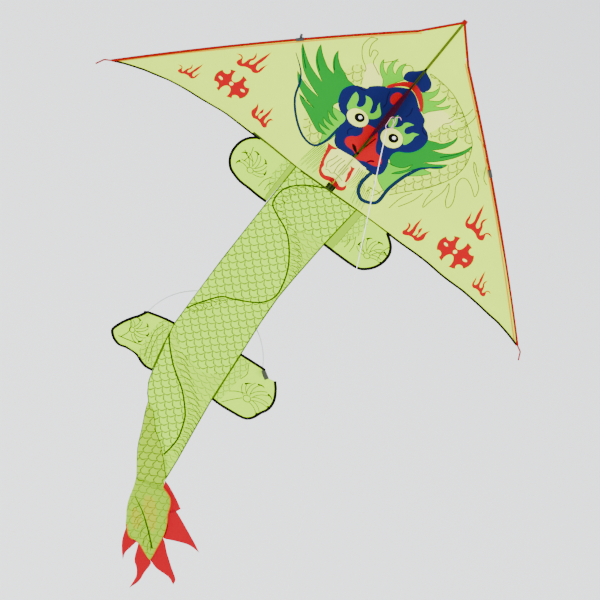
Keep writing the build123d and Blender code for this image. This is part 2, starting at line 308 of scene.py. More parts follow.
def scale_lines(tree, wide, tall, thick, slant=0.0):
    """Fish scales drawn with a thin line, heavier at the foot of each scale: 1 on the line."""
    uv = tree.nodes.new("ShaderNodeUVMap")
    parts = tree.nodes.new("ShaderNodeSeparateXYZ")
    tree.links.new(uv.outputs[0], parts.inputs[0])
    x, z = parts.outputs[0], parts.outputs[1]
    if slant:
        x, z = (calc(tree, "ADD", x, calc(tree, "MULTIPLY", z, slant)),
                calc(tree, "SUBTRACT", z, calc(tree, "MULTIPLY", x, slant)))
    wobble = tree.nodes.new("ShaderNodeTexNoise")
    wobble.inputs["Scale"].default_value = 22
    tree.links.new(uv.outputs[0], wobble.inputs["Vector"])
    shake = calc(tree, "MULTIPLY", calc(tree, "SUBTRACT", wobble.outputs[0], 0.5), 0.008)
    z = calc(tree, "ADD", calc(tree, "ADD", z, 10.0), shake)
    x = calc(tree, "ADD", calc(tree, "ADD", x, 10.0), shake)
    v = calc(tree, "DIVIDE", z, tall)
    row = calc(tree, "FLOOR", v)
    fv = calc(tree, "SUBTRACT", v, row)
    u = calc(tree, "ADD", calc(tree, "DIVIDE", x, wide), calc(tree, "MULTIPLY", row, 0.5))
    fu = calc(tree, "SUBTRACT", calc(tree, "FRACT", u), 0.5)
    out = calc(tree, "MULTIPLY", calc(tree, "ABSOLUTE", fu), 2.0)
    bowl = calc(tree, "SUBTRACT", 1.0, calc(tree, "POWER", out, 3.0))
    steep = calc(tree, "SQRT", calc(tree, "ADD", 1.0, calc(tree, "POWER", calc(
        tree, "MULTIPLY", calc(tree, "POWER", out, 2.0), 6 * tall / wide), 2.0)))
    off = calc(tree, "ABSOLUTE", calc(tree, "SUBTRACT", fv, bowl))
    gap = calc(tree, "DIVIDE", calc(tree, "MULTIPLY", off, tall), steep)
    heavy = calc(tree, "MULTIPLY", calc(tree, "ADD", calc(tree, "MULTIPLY", bowl, 0.7), 0.5), thick)
    return calc(tree, "SUBTRACT", 1.0, calc(tree, "SMOOTH_MIN", 1.0, calc(tree, "DIVIDE", gap, heavy), 0.3))


def fabric(name, colour, through=0.4, lines=None, line_colour=(0.09, 0.2, 0.004), strength=0.8, weave=0.05):
    """Thin ripstop: light comes through it, and a fine grid of thicker threads shows close up."""
    m = bpy.data.materials.new(name)
    m.use_nodes = True
    tree = m.node_tree
    tree.nodes.clear()
    out = tree.nodes.new("ShaderNodeOutputMaterial")
    face = tree.nodes.new("ShaderNodeBsdfPrincipled")
    glow = tree.nodes.new("ShaderNodeBsdfTranslucent")
    both = tree.nodes.new("ShaderNodeMixShader")
    both.inputs[0].default_value = through
    face.inputs["Roughness"].default_value = CLOTH_ROUGHNESS
    face.inputs["Specular IOR Level"].default_value = CLOTH_SHINE
    uv = tree.nodes.new("ShaderNodeUVMap")
    cloud = tree.nodes.new("ShaderNodeTexNoise")
    cloud.inputs["Scale"].default_value = 7
    tree.links.new(uv.outputs[0], cloud.inputs["Vector"])
    dark = tuple(c * 0.9 for c in colour)
    base = mix(tree, dark, colour, cloud.outputs[0])
    if weave:
        grid = tree.nodes.new("ShaderNodeTexBrick")
        grid.offset = 0.0
        grid.inputs["Scale"].default_value = 1.0
        grid.inputs["Brick Width"].default_value = THREAD_GRID
        grid.inputs["Row Height"].default_value = THREAD_GRID
        grid.inputs["Mortar Size"].default_value = THREAD_THICK
        grid.inputs["Color1"].default_value = (0, 0, 0, 1)
        grid.inputs["Color2"].default_value = (0, 0, 0, 1)
        grid.inputs["Mortar"].default_value = (1, 1, 1, 1)
        tree.links.new(uv.outputs[0], grid.inputs["Vector"])
        amount = calc(tree, "MULTIPLY", grid.outputs["Fac"], weave * 3)
        base = mix(tree, base, tuple(c * 0.6 for c in colour), amount)
    if lines:
        pattern = calc(tree, "MAXIMUM", scale_lines(tree, *lines), 0.0)
        base = mix(tree, base, line_colour, calc(tree, "MULTIPLY", pattern, strength))
    tree.links.new(base, face.inputs["Base Color"])
    tree.links.new(base, glow.inputs["Color"])
    tree.links.new(face.outputs[0], both.inputs[1])
    tree.links.new(glow.outputs[0], both.inputs[2])
    tree.links.new(both.outputs[0], out.inputs["Surface"])
    MATERIALS[name] = m


def srgb(r, g, b):
    return tuple(((c / 255 + 0.055) / 1.055) ** 2.4 if c > 10 else c / 255 / 12.92 for c in (r, g, b))


LINE = (0.020, 0.060, 0.002)
fabric("sail", (0.640, 0.950, 0.020))
fabric("sail_line", (0.060, 0.130, 0.004))
fabric("sail_scales", (0.600, 0.880, 0.020), lines=(0.034, 0.024, 0.0030), line_colour=(0.025, 0.060, 0.003),
       strength=1.0)
fabric("beard", (0.520, 0.900, 0.010))
# dark olive for the seams and eye outlines, and also for the painted shadow of the spine sleeve down the
# middle of the sail
fabric("seam", (0.039, 0.073, 0.006))
fabric("pocket", (0.025, 0.050, 0.008))
fabric("pocket_dark", (0.010, 0.014, 0.004))
fabric("blue", (0.007, 0.010, 0.072), weave=0.02)
fabric("navy", (0.003, 0.002, 0.021), weave=0.0)
fabric("teal", (0.005, 0.018, 0.049), weave=0.0)
fabric("green", (0.001, 0.210, 0.016), weave=0.02)
fabric("green_dark", (0.001, 0.060, 0.008), weave=0.0)
fabric("hair_line", (0.010, 0.080, 0.004), weave=0.0)
fabric("gold", (0.620, 0.300, 0.002), weave=0.0)
# painted shadow: the lighter core of the dark line that the spine sleeve behind the sail casts through the
# cloth
fabric("painted_spine_shadow", (0.090, 0.150, 0.008))
fabric("light_green", (0.081, 0.496, 0.001), weave=0.02)
fabric("cream", (0.780, 0.900, 0.130), weave=0.02)
fabric("red", (0.370, 0.001, 0.006), weave=0.02)
fabric("dark_red", (0.052, 0.001, 0.005), weave=0.0)
fabric("ink", (0.003, 0.004, 0.002), weave=0.0)
fabric("white", (0.920, 0.920, 0.920), weave=0.0)
fabric("body", (0.440, 0.860, 0.001), lines=(0.036, 0.0190, 0.0032), line_colour=LINE, strength=1.0)
fabric("belly", (0.400, 0.760, 0.001), lines=(0.05, 0.0125, 0.0018), line_colour=LINE, strength=0.85)
fabric("body_plain", (0.470, 0.870, 0.001))
fabric("body_edge", (0.045, 0.110, 0.002))
fabric("body_line", (0.014, 0.052, 0.002))
fabric("overlap", (0.250, 0.480, 0.001))
fabric("wrist", (0.420, 0.800, 0.001), lines=(0.022, 0.016, 0.0018), line_colour=LINE, strength=0.9)
fabric("folded", (0.290, 0.520, 0.001), lines=(0.036, 0.026, 0.0032, 0.5), line_colour=(0.018, 0.060, 0.001),
       strength=1.0)
fabric("leaf", (0.260, 0.480, 0.001), lines=(0.034, 0.024, 0.0021, 0.5), line_colour=(0.060, 0.120, 0.004),
       strength=1.0)
# painted shading: a warmer copy of the leaf cloth, used for two patches of shading on the leaf
fabric("leaf_painted_shading", (0.350, 0.430, 0.001), lines=(0.034, 0.024, 0.0021, 0.5),
       line_colour=(0.090, 0.070, 0.005), strength=1.0)
fabric("orange", (0.534, 0.056, 0.001), weave=0.0)
fabric("fin_red", (0.350, 0.001, 0.009), through=0.3)
fabric("fin_edge", (0.133, 0.002, 0.044), weave=0.0)
fabric("binding", (0.002, 0.002, 0.002), through=0.05, weave=0.0)
fabric("keel_cloth", (0.043, 0.003, 0.018), through=0.5)
fabric("le_red", (0.280, 0.003, 0.002), through=0.2)
fabric("dark_sleeve", (0.021, 0.043, 0.006), through=0.3)
fabric("patch", (0.045, 0.052, 0.035), through=0.1)
fabric("pink", (0.880, 0.420, 0.560), through=0.2, weave=0.0)
fabric("braid", (0.920, 0.920, 0.920), through=0.1, weave=0.0)


def hard(name, colour, rough):
    m = bpy.data.materials.new(name)
    m.use_nodes = True
    tree = m.node_tree
    face = tree.nodes["Principled BSDF"]
    grain = tree.nodes.new("ShaderNodeTexNoise")
    grain.inputs["Scale"].default_value = 400
    shade = mix(tree, tuple(c * 0.85 for c in colour), colour, grain.outputs[0])
    tree.links.new(shade, face.inputs["Base Color"])
    face.inputs["Roughness"].default_value = rough
    MATERIALS[name] = m


hard("plastic", srgb(20, 20, 22), 0.5)
hard("fibre", srgb(34, 34, 36), 0.35)
hard("clear_rod", (0.42, 0.44, 0.46), 0.3)

# ---- print of the sail ----
BLUE_FACE = [
    (0, 303), (17, 306), (35, 316), (58, 336), (74, 347), (88, 354), (101, 363), (106, 376), (113, 384),
    (127, 390), (139, 400), (147, 412), (150, 429), (149, 447), (142, 468), (131, 484), (115, 497), (99, 506),
    (90, 520), (88, 534), (92, 552), (99, 568), (102, 584), (103, 597), (98, 612), (86, 623, 1), (63, 624),
    (35, 622), (0, 617), (-30, 621), (-52, 621), (-73, 615), (-87, 601), (-96, 583), (-101, 565), (-102, 550),
    (-99, 535), (-100, 522), (-109, 512), (-127, 509), (-148, 493), (-161, 470), (-167, 443), (-159, 420),
    (-145, 404), (-123, 393), (-109, 388), (-107, 378, 1), (-95, 365), (-77, 351), (-58, 342), (-36, 322),
    (-14, 309)]
TOPKNOT = [
    (0, 213, 1), (10, 223), (25, 231), (39, 240), (48, 254), (49, 268), (43, 281), (34, 289), (0, 282),
    (-33, 288), (-42, 278), (-43, 264), (-36, 250), (-18, 235)]
RED_BAND = [
    (0, 278), (17, 282), (35, 291), (54, 308), (66, 325), (77, 344, 1), (70, 347, 1), (53, 329), (35, 315),
    (17, 305), (0, 301), (-17, 306), (-36, 320), (-56, 343, 1), (-66, 344, 1), (-59, 328), (-45, 311),
    (-32, 295), (-16, 284)]
HAIR_LEFT = [
    (-33, 287), (-45, 281), (-56, 268), (-60, 252), (-61, 236, 1), (-71, 255), (-71, 274), (-66, 290, 1),
    (-76, 287), (-87, 274), (-91, 256), (-90, 239, 1), (-98, 256), (-100, 276), (-97, 293), (-87, 309, 1),
    (-101, 302), (-114, 290), (-126, 269, 1), (-125, 288), (-116, 306), (-102, 320), (-86, 331), (-75, 349),
    (-66, 344, 1), (-50, 316)]
HAIR_RIGHT = [
    (35, 289), (50, 277), (64, 261), (71, 238, 1), (77, 260), (74, 280), (65, 300, 1), (82, 290), (99, 275),
    (105, 247, 1), (109, 266), (104, 286), (94, 302, 1), (111, 295), (126, 279), (133, 265, 1), (134, 280),
    (124, 295), (106, 315), (92, 331), (84, 346), (77, 344, 1), (60, 315)]
MANE_LEFT = [
    (-140, 412), (-152, 404), (-173, 403), (-195, 390), (-218, 380), (-241, 361), (-256, 339, 1), (-255, 361),
    (-243, 388), (-220, 415, 1), (-245, 411), (-268, 397), (-291, 379), (-312, 357, 1), (-307, 384),
    (-291, 415), (-268, 438), (-232, 463, 1), (-264, 454), (-300, 438), (-332, 415), (-360, 391, 1),
    (-350, 411), (-332, 434), (-309, 461), (-282, 481), (-250, 497), (-211, 513, 1), (-250, 509), (-282, 500),
    (-302, 490), (-316, 482, 1), (-302, 502), (-282, 522), (-250, 540), (-205, 555, 1), (-240, 551),
    (-267, 543, 1), (-245, 563), (-209, 581), (-173, 600), (-145, 612), (-114, 604, 1), (-145, 597),
    (-160, 585, 1), (-140, 587), (-114, 584, 1), (-145, 576), (-160, 560, 1), (-140, 566), (-113, 564, 1),
    (-142, 553), (-162, 530, 1), (-140, 541), (-114, 541, 1), (-145, 527), (-158, 505), (-150, 480)]
MANE_RIGHT = [
    (130, 412), (150, 413), (172, 404), (190, 397), (204, 380), (213, 362), (215, 343, 1), (220, 361),
    (217, 380), (208, 402), (195, 420), (178, 436, 1), (196, 430), (218, 420), (240, 402), (259, 375),
    (271, 342, 1), (273, 362), (265, 388), (247, 420), (217, 457), (184, 487, 1), (208, 476), (232, 459),
    (249, 445, 1), (240, 470), (222, 486), (197, 502), (175, 525), (160, 548), (146, 568), (124, 586, 1),
    (134, 570), (146, 556), (158, 538), (160, 515, 1), (150, 535), (138, 548), (120, 556), (104, 557),
    (92, 547), (80, 530), (92, 500), (130, 470)]
FRINGE_LEFT = [
    (-90, 505), (-125, 509), (-162, 515), (-166, 545), (-160, 590), (-132, 608), (-122, 625), (-117, 640),
    (-108, 640), (-95, 600), (-92, 550)]
FRINGE_RIGHT = [
    (80, 560), (126, 554), (160, 515), (200, 507), (224, 506), (195, 540), (172, 560), (160, 590), (153, 622),
    (149, 650), (120, 640), (100, 625), (84, 600)]
EYEBROW_LEFT = [
    (-123, 479), (-128, 456), (-131, 436), (-129, 420, 1), (-117, 425), (-107, 438), (-102, 456), (-93, 459),
    (-84, 450), (-82, 437), (-87, 424), (-98, 411, 1), (-81, 409), (-66, 418), (-58, 436), (-53, 452),
    (-43, 448), (-41, 430), (-47, 416), (-48, 402, 1), (-40, 414), (-27, 427), (-20, 439), (-25, 456),
    (-38, 469), (-55, 475), (-77, 475), (-100, 480), (-112, 488)]
EYEBROW_RIGHT = [
    (33, 450), (46, 438), (54, 425), (55, 412), (65, 402), (83, 398, 1), (73, 412), (68, 425), (72, 437),
    (82, 440), (90, 432), (96, 422), (115, 415, 1), (108, 430), (109, 444), (106, 461), (97, 476), (80, 465),
    (54, 462), (33, 468)]
LASH = [(13, 430), (20, 415), (23, 401, 1), (32, 418), (38, 436), (33, 450), (20, 452)]
NOSE = [
    (0, 487), (-12, 487), (-28, 489), (-38, 494), (-41, 505), (-34, 516), (-30, 530), (-37, 547), (-50, 556),
    (-60, 570), (-57, 586), (-42, 595), (-18, 596), (-6, 602), (0, 612), (18, 611), (35, 602), (54, 600),
    (72, 595), (79, 581), (76, 568), (63, 557), (45, 554), (31, 538), (20, 513), (12, 500)]
MOUTH = [
    (-97, 624, 1), (-76, 624), (-61, 621, 1), (-62, 627), (-73, 635), (-73, 647), (-71, 669), (-67, 686),
    (-60, 697), (-59, 711), (-51, 720), (-37, 724), (-26, 719), (-10, 715), (2, 717), (16, 724), (25, 726),
    (32, 720), (36, 707, 1), (42, 722), (38, 735), (24, 742), (6, 740), (-12, 733), (-30, 738), (-48, 736),
    (-60, 727), (-69, 711), (-76, 690), (-82, 665), (-87, 644), (-92, 631)]
TONGUE = [
    (6, 644, 1), (16, 645), (24, 643, 1), (26, 661), (31, 683), (31, 703, 1), (25, 702), (21, 686), (15, 672),
    (15, 655)]
MOUTH_INSIDE = [
    (-76, 640), (-62, 622), (-30, 618), (0, 615), (35, 620), (52, 622), (42, 650), (36, 700), (26, 730),
    (0, 722), (-37, 728), (-62, 712), (-72, 680)]
BEARD = [(-100, 618), (-116, 645), (-128, 662), (-133, 757), (118, 762), (112, 722), (95, 722), (70, 706),
         (60, 716), (42, 724), (38, 738), (0, 744), (-50, 740), (-64, 728), (-78, 690), (-90, 640)]
FLAME = [
    (-503, 559, 1), (-490, 552), (-479, 556), (-474, 568), (-468, 575), (-464, 566), (-460, 549), (-452, 535),
    (-455, 513, 1), (-446, 527), (-446, 540), (-452, 552), (-449, 562), (-441, 557), (-437, 545), (-433, 526),
    (-427, 507), (-418, 481, 1), (-419, 505), (-422, 528), (-427, 546), (-424, 561), (-415, 563), (-412, 547),
    (-402, 524, 1), (-405, 543), (-406, 560), (-412, 574), (-424, 580), (-436, 576), (-453, 579), (-465, 587),
    (-477, 589), (-486, 583), (-484, 571), (-481, 562), (-488, 557)]
SMALL_FLAME = [
    (-349, 657, 1), (-340, 671), (-335, 683), (-332, 697), (-327, 701), (-326, 689), (-326, 676),
    (-323, 663, 1), (-317, 677), (-322, 689), (-319, 700), (-312, 702), (-311, 688), (-307, 671),
    (-303, 636, 1), (-298, 667), (-299, 686), (-296, 701), (-291, 702), (-291, 687), (-285, 677),
    (-275, 677, 1), (-283, 685), (-284, 699), (-279, 712), (-285, 720), (-295, 718), (-304, 713), (-318, 711),
    (-330, 715), (-342, 708), (-349, 695), (-346, 676)]
COIL = [
    (20, 217), (80, 221), (117, 230), (150, 247), (181, 266), (217, 293), (245, 315), (268, 338), (285, 375),
    (294, 411), (294, 447), (285, 484), (267, 520), (245, 556), (217, 588), (190, 620), (165, 650),
    (158, 640), (160, 590), (185, 560), (205, 520), (235, 480), (260, 420), (273, 360), (262, 345),
    (235, 350), (215, 343), (200, 380), (170, 400), (140, 395), (150, 350), (175, 340), (210, 310),
    (180, 290), (150, 290), (140, 270), (110, 255), (60, 240), (30, 228)]
COIL_LEFT = [
    (-197, 390), (-193, 360), (-180, 340), (-160, 330), (-145, 345), (-132, 380), (-135, 395), (-160, 402),
    (-175, 403)]
COIL_LOW_LEFT = [
    (-210, 580), (-190, 597), (-150, 612), (-120, 615), (-112, 640), (-120, 655), (-150, 655), (-182, 640),
    (-202, 612)]
CREAM_CHEEKS = [
    [(104, 318), (124, 300), (150, 300), (185, 315), (160, 335), (150, 355), (140, 385), (126, 390),
     (112, 380), (104, 362), (86, 346), (92, 331)],
    [(-102, 322), (-122, 308), (-140, 300), (-160, 327), (-148, 345), (-133, 380), (-123, 392), (-109, 386),
     (-107, 376), (-95, 363), (-78, 349), (-86, 333)]]
SAIL_LINES = [
    [(-181, 225), (-200, 234), (-205, 252), (-205, 275), (-193, 297), (-177, 315), (-159, 327), (-150, 336),
     (-148, 347)],
    [(-181, 225), (-186, 252), (-177, 279), (-164, 292), (-170, 270), (-164, 262), (-152, 265), (-150, 284),
     (-145, 302), (-127, 313), (-105, 325)],
    [(-125, 288), (-110, 270), (-96, 254), (-84, 246)], [(-60, 245), (-50, 236), (-38, 236), (-30, 244)],
    [(20, 217), (49, 218), (81, 222), (117, 231), (149, 247), (181, 266), (217, 293), (245, 315), (268, 338),
     (285, 375), (294, 411), (294, 447), (285, 484), (267, 520), (245, 556), (217, 588), (185, 625),
     (163, 652)],
    [(197, 234), (195, 261), (185, 284), (172, 302)],
    [(208, 231), (220, 256), (217, 284), (210, 306), (199, 320)],
    [(158, 270), (164, 290), (156, 312)], [(172, 275), (180, 268), (188, 274), (182, 292)],
    [(172, 302), (168, 320), (156, 335), (156, 347), (166, 350), (172, 340)],
    [(172, 327), (185, 334), (200, 328)],
    [(263, 302), (299, 320), (326, 343), (345, 370), (367, 415), (388, 429)],
    [(308, 386), (326, 411), (354, 434), (376, 456), (383, 488), (354, 465), (326, 452), (310, 461),
     (313, 493), (331, 525), (341, 556), (335, 575), (317, 556), (304, 520), (292, 500)],
    [(308, 386), (320, 392), (338, 412), (352, 420)],
    [(290, 497), (292, 538), (281, 584), (274, 622), (265, 593), (265, 556), (256, 556)],
    [(218, 600), (205, 622), (196, 650), (190, 690)], [(245, 580), (238, 612), (226, 640), (210, 668)],
    [(-45, 640), (-50, 660), (-58, 680), (-50, 700)], [(-30, 640), (-36, 665), (-42, 690)],
    [(-18, 640), (-24, 670), (-20, 700)], [(-8, 650), (-10, 690)], [(6, 655), (4, 690)],
    [(-50, 706), (-38, 702), (-28, 706), (-16, 698), (-6, 700), (6, 702), (18, 706)],
    [(96, 640), (112, 660), (120, 680)], [(96, 668), (110, 668), (126, 664), (140, 668)],
    [(100, 690), (104, 665)],
    [(120, 690), (132, 672), (138, 650)]]
EYES = [((-73, 491), (36.5, 30.5), (-68, 487), (17, 16)), ((54, 481), (36.5, 34), (58, 478), (17, 16))]


def placed(shape, anchor, scale=1.0, mirrored=False):
    """The same drawing again, with its first point at the anchor."""
    (x0, d0), s = shape[0][:2], -1 if mirrored else 1
    return [(anchor[0] + s * (q[0] - x0) * scale, anchor[1] + (q[1] - d0) * scale, *q[2:]) for q in shape]


def ball(x, drop, rx, ry, side):
    tilt = 3 * side
    marks = [("sail_line", oval(x, drop, rx, ry, tilt)), ("sail", oval(x, drop, rx - 1.4, ry - 1.4, tilt))]
    red = [("red", oval(x, drop, rx - 1.4, ry - 1.4, tilt))]
    bites = [(-2, -39, 15, 27), (-3, 39, 16, 26), (-42, -32, 13, 12), (42, -35, 13, 13), (-42, 37, 12, 12),
             (40, 36, 13, 12)]
    red += [("sail", oval(x + a * rx / 62, drop + b * ry / 52, c, d)) for a, b, c, d in bites]
    red += [("cream", oval(x - 2, drop - 1, 6.5, 7)), ("cream", oval(x - 40, drop + 4 * -side, 8, 4.5, 12)),
            ("cream", oval(x + 40, drop + 4 * side, 8, 4.5, -4))]
    return marks + red


JAW = 635.0    # the fine lines that start below this are drawn again, over the mouth


def sail_print():
    """The dragon on the sail, from the ground up: each entry is a colour and an outline."""
    p = [("sail_scales", smooth(s)) for s in (COIL, COIL_LEFT, COIL_LOW_LEFT)]
    p += [("cream", smooth(s, steps=3)) for s in CREAM_CHEEKS]
    p += [("sail_line", stroke(s, 2.8)) for s in SAIL_LINES]
    p.append(("beard", BEARD))
    for k in range(13):
        x = -122 + 5.5 * k
        hair = [(x + 6, 634 + 5 * (k % 3)), (x - 1, 680), (x - 8 - 4 * (k % 2), 728 + 6 * (k % 4))]
        p.append(("hair_line", stroke(hair, (2.4, 0.9))))
    for k in range(9):
        x = 66 + 6 * k
        hair = [(x - 6, 668 + 6 * (k % 3)), (x + 2, 706), (x + 10 + 4 * (k % 2), 744 + 4 * (k % 3))]
        p.append(("hair_line", stroke(hair, (2.2, 0.9))))
    for fill, edge, tufts in (
            ("light_green", "hair_line", (HAIR_LEFT, HAIR_RIGHT, FRINGE_LEFT, FRINGE_RIGHT)),
            ("green", "green_dark", (MANE_LEFT, MANE_RIGHT))):
        p += [(fill, smooth(s)) for s in tufts]
        p += [(edge, stroke(s + [s[0]], 2.0)) for s in tufts]
    for s in ([(-305, 388), (-288, 412), (-262, 436)], [(-350, 402), (-330, 428), (-300, 458)],
              [(-252, 362), (-238, 388), (-226, 404)], [(262, 380), (240, 410), (214, 440)],
              [(-245, 505), (-280, 496)], [(-200, 553), (-262, 545)]):
        p.append(("green_dark", stroke(s, (1.6, 3.2))))
    p += [("blue", smooth(s)) for s in (TOPKNOT, BLUE_FACE)]
    p.append(("red", smooth(RED_BAND)))
    for s in ([(-87, 601), (-73, 615), (-52, 621), (-30, 620), (0, 616), (35, 621), (63, 623), (88, 621)],
              [(-46, 350), (-40, 372), (-30, 392), (-30, 410)], [(44, 352), (50, 372), (46, 392)],
              [(-64, 532), (-72, 545), (-64, 560)], [(-140, 400), (-120, 402), (-108, 396)],
              [(108, 388), (120, 400), (138, 404)]):
        p.append(("navy", stroke(s, 2.6)))
    p += [("light_green", smooth(s)) for s in (EYEBROW_LEFT, EYEBROW_RIGHT, LASH)]
    p.append(("red", oval(-15, 358, 18, 24)))
    p.append(("red", smooth(NOSE)))
    p.append(("ink", stroke([(15, 515), (8, 548), (1, 575), (-4, 600), (-5, 614)], (3, 6))))
    p.append(("ink", smooth([(-33, 577), (-22, 577), (-12, 584), (-4, 596), (-14, 594), (-24, 588)])))
    p.append(("dark_red", smooth([(38, 603, 1), (44, 590), (54, 583), (59, 586), (50, 592), (42, 603, 1)])))
    p.append(("cream", smooth(MOUTH_INSIDE)))
    for k in range(6):
        x = 34 + 6 * k
        hair = [(x, 632 + 4 * (k % 2)), (x + 4, 670), (x - 2, 712 - 5 * (k % 3))]
        p.append(("hair_line", stroke(hair, (2.4, 0.9))))
    p += [("sail_line", stroke(s, 2.6)) for s in SAIL_LINES if s[0][1] > JAW]
    p += [("red", smooth(s)) for s in (MOUTH, TONGUE)]
    for (x, d), (rx, ry), (px, pd), (qx, qy) in EYES:
        p.append(("seam", oval(x, d, rx + 1.2, ry + 1.2)))
        p.append(("cream", oval(x, d, rx, ry)))
        p.append(("ink", oval(px, pd, qx, qy)))
        p.append(("white", oval(px + 1, pd - 2, 6, 6)))
    whisker = [(-357, 433), (-309, 474), (-287, 510), (-268, 566), (-224, 620), (-171, 658), (-126, 661),
               (-106, 627), (-101, 590), (-99, 560)]
    p.append(("teal", stroke(whisker[:3], (2.5, 8))))
    p.append(("teal", stroke(whisker[2:], (8, 9.5))))
    whisker = [(74, 620), (69, 658), (71, 683), (79, 704), (99, 719), (116, 719), (134, 711), (146, 700),
               (150, 683), (149, 654), (150, 629), (156, 597), (163, 570), (173, 542), (186, 515), (204, 497),
               (240, 463)]
    p.append(("teal", stroke(whisker[:14], (13, 12))))
    p.append(("teal", stroke(whisker[13:], (12, 4))))
    flames = [
        (FLAME, (-503, 559), 1, False), (FLAME, (-626, 716), 0.74, False), (FLAME, (511, 571), 1.05, True),
        (FLAME, (624, 735.5), 0.73, True), (SMALL_FLAME, (-349, 657), 1, False),
        (SMALL_FLAME, (341, 673), 1, True)]
    p += [("red", smooth(placed(*f))) for f in flames]
    p += ball(-452, 660, 60, 51, -1)
    p += ball(448, 685, 64, 53, 1)
    # Painted shadow: the spine sleeve lies behind the sail and shows through the cloth as a dark line down
    # the middle, with a lighter core above the keel.
    p.append(("seam", stroke([(0, 10), (0, 612)], 8.5)))
    p.append(("painted_spine_shadow", stroke([(0, 10), (0, 216)], 5.0)))
    p += [("ink", oval(0, d, 4.5, 5.5)) for d in (216, 594)]
    # The same painted spine shadow, carried on through the beard.
    p.append(("beard", stroke([(-1, 618), (-2, 735)], 3.0)))
    p.append(("seam", stroke([(-1, 622), (-2, 736)], 1.8)))
    p.append(("pocket", [(-14, 735), (15, 737), (15, 762), (-14, 760)]))
    p += [("pocket_dark", [(a, 738), (a + 7, 739), (a + 7, 761), (a, 760)]) for a in (-13, 0, 9)]
    p.append(("seam", [(-300, 754), (-122, 756.5), (122, 757.5), (250, 759), (250, 766), (122, 762.5),
                       (-122, 762.5), (-300, 766)]))
    return p


SAIL_PRINT = sail_print()


EDGE_IN = 1.4    # the cloth's edge lies this far inside the spar's line
EDGE_PIECES = 26


def edge_points(side):
    """The leading edge from the spar's start to the tip: an arc through three points."""
    a, b, c = (Vector(q) for q in ((90, 113), (373, 387), (800, 838)))
    d = 2 * (a.x * (b.y - c.y) + b.x * (c.y - a.y) + c.x * (a.y - b.y))
    aa, bb, cc = a.length_squared, b.length_squared, c.length_squared
    ux = (aa * (b.y - c.y) + bb * (c.y - a.y) + cc * (a.y - b.y)) / d
    uy = (aa * (c.x - b.x) + bb * (a.x - c.x) + cc * (b.x - a.x)) / d
    centre = Vector((ux, uy))
    r = (a - centre).length
    line = []
    for k in range(EDGE_PIECES + 1):
        q = a.lerp(c, k / EDGE_PIECES)
        line.append(centre + (q - centre).normalized() * r)
    return [(side * (q.x - EDGE_IN), q.y + EDGE_IN) for q in line]


def fold_point(side, drop, shift=0.0):
    """A point of the line that a wing folds on."""
    x = FOLD_TOP[0] + (drop - FOLD_TOP[1]) * (FOLD_FOOT[0] - FOLD_TOP[0]) / (FOLD_FOOT[1] - FOLD_TOP[1])
    return (side * (x + shift), drop)


INWARD = -14.0    # where the wing's cloth piece begins, inside the fold line
TRAIL_X = (798, 756, 698, 660, 620, 580, 540, 470, 400, 330, 260, 190, 140)


HEM_WIDTH, HEM_THICK = 7.4, 1.6
ARM_TAPE_WIDTH, ARM_TAPE_THICK = 9.4, 1.8


def wing_outline(side):
    line = edge_points(side)
    trail = [(side * x, trailing_drop(x)) for x in TRAIL_X]
    return [fold_point(side, 104, INWARD)] + line + trail + [fold_point(side, 762, INWARD)]


def fold_blend(piece):
    """Bake a piece's placement into its mesh."""
    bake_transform(piece)


def stand_in(piece, slot, *nodes):
    """Hide the CAD nodes that a piece is drawn in place of; its place in the colour table, slot, is not used.
    """
    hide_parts(*nodes)


centre = [(0, 2), (76, 96), fold_point(1, 104, INWARD), fold_point(1, 762, INWARD),
          fold_point(-1, 762, INWARD), fold_point(-1, 104, INWARD), (-76, 96)]
piece = cloth("sail_middle_cloth", centre, SAIL_PRINT, sail_point, "sail")
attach(piece, "frame")
stand_in(piece, "sail_cloth", "sail_centre")
for side, hand in SIDES:
    outline = wing_outline(side)
    fringe = [(x - side * 4.2, d + 4.2) for x, d in edge_points(side)]
    print_here = SAIL_PRINT + [("gold", stroke(fringe, 5.0, 1))]
    piece = cloth(f"sail_{hand}_cloth", outline, print_here, sail_point, "sail")
    fold_blend(piece)
    stand_in(piece, "sail_cloth", f"sail_{hand}")
    hem_in = 270 if side < 0 else 235
    hem = [(side * x, trailing_drop(x) - 1.5) for x in np.linspace(hem_in, 797, 60)]
    piece = tape(f"hem_{hand}_tape", hem, HEM_WIDTH, sail_point, "binding", HEM_THICK)
    fold_blend(piece)
    stand_in(piece, "black_tape", f"hem_{hand}")
for side, hand in SIDES:
    shoulder = [(side * x, d) for x, d in ((84.5, 104.5), (89.5, 110.5), (95, 117), (102.5, 125.5))]
    piece = tape(f"shoulder_tape_{hand}", shoulder, 8.4, sail_point, "le_red", 3.0)
    fold_blend(piece)
seam = [(x, 761.5) for x in np.linspace(-108, 108, 30)]
piece = tape("seam_tape_strip", seam, 4.0, sail_point, "seam", 1.6)
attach(piece, "frame")
stand_in(piece, "black_tape", "seam_tape")

# ---- upper arms ----
ARM = {    # each outline starts at the hem, beside the body strip
    -1: [(-128, 761), (-130, 909), (-131, 922), (-164, 924), (-198, 924), (-233, 925), (-262, 918),
         (-284, 908), (-301, 890), (-311, 868), (-315, 842), (-312, 812), (-300, 786), (-284, 769),
         (-276, 763)],
    1: [(113, 762), (103, 921), (102, 928), (162, 930), (205, 930), (235, 926), (254, 914), (274, 889),
        (285, 858), (285, 822), (273, 796), (256, 779), (236, 764)]}
UPPER_CREASES = [
    [(150, 850), (160, 870), (158, 895)], [(165, 840), (178, 868), (180, 898)],
    [(270, 800), (262, 830), (266, 860)], [(286, 826), (262, 838), (240, 842)]]
DOUBLED = {    # where an arm's cloth lies double beside the body strip
    -1: [(-128, 755), (-146, 755), (-144, 905), (-141, 935), (-128, 935)],
    1: [(113, 755), (136, 755), (134, 905), (131, 935), (103, 935)]}
TOES = ((-76, 32), (-38, 42), (-2, 45), (34, 42), (74, 34))    # the direction of each toe, and its length


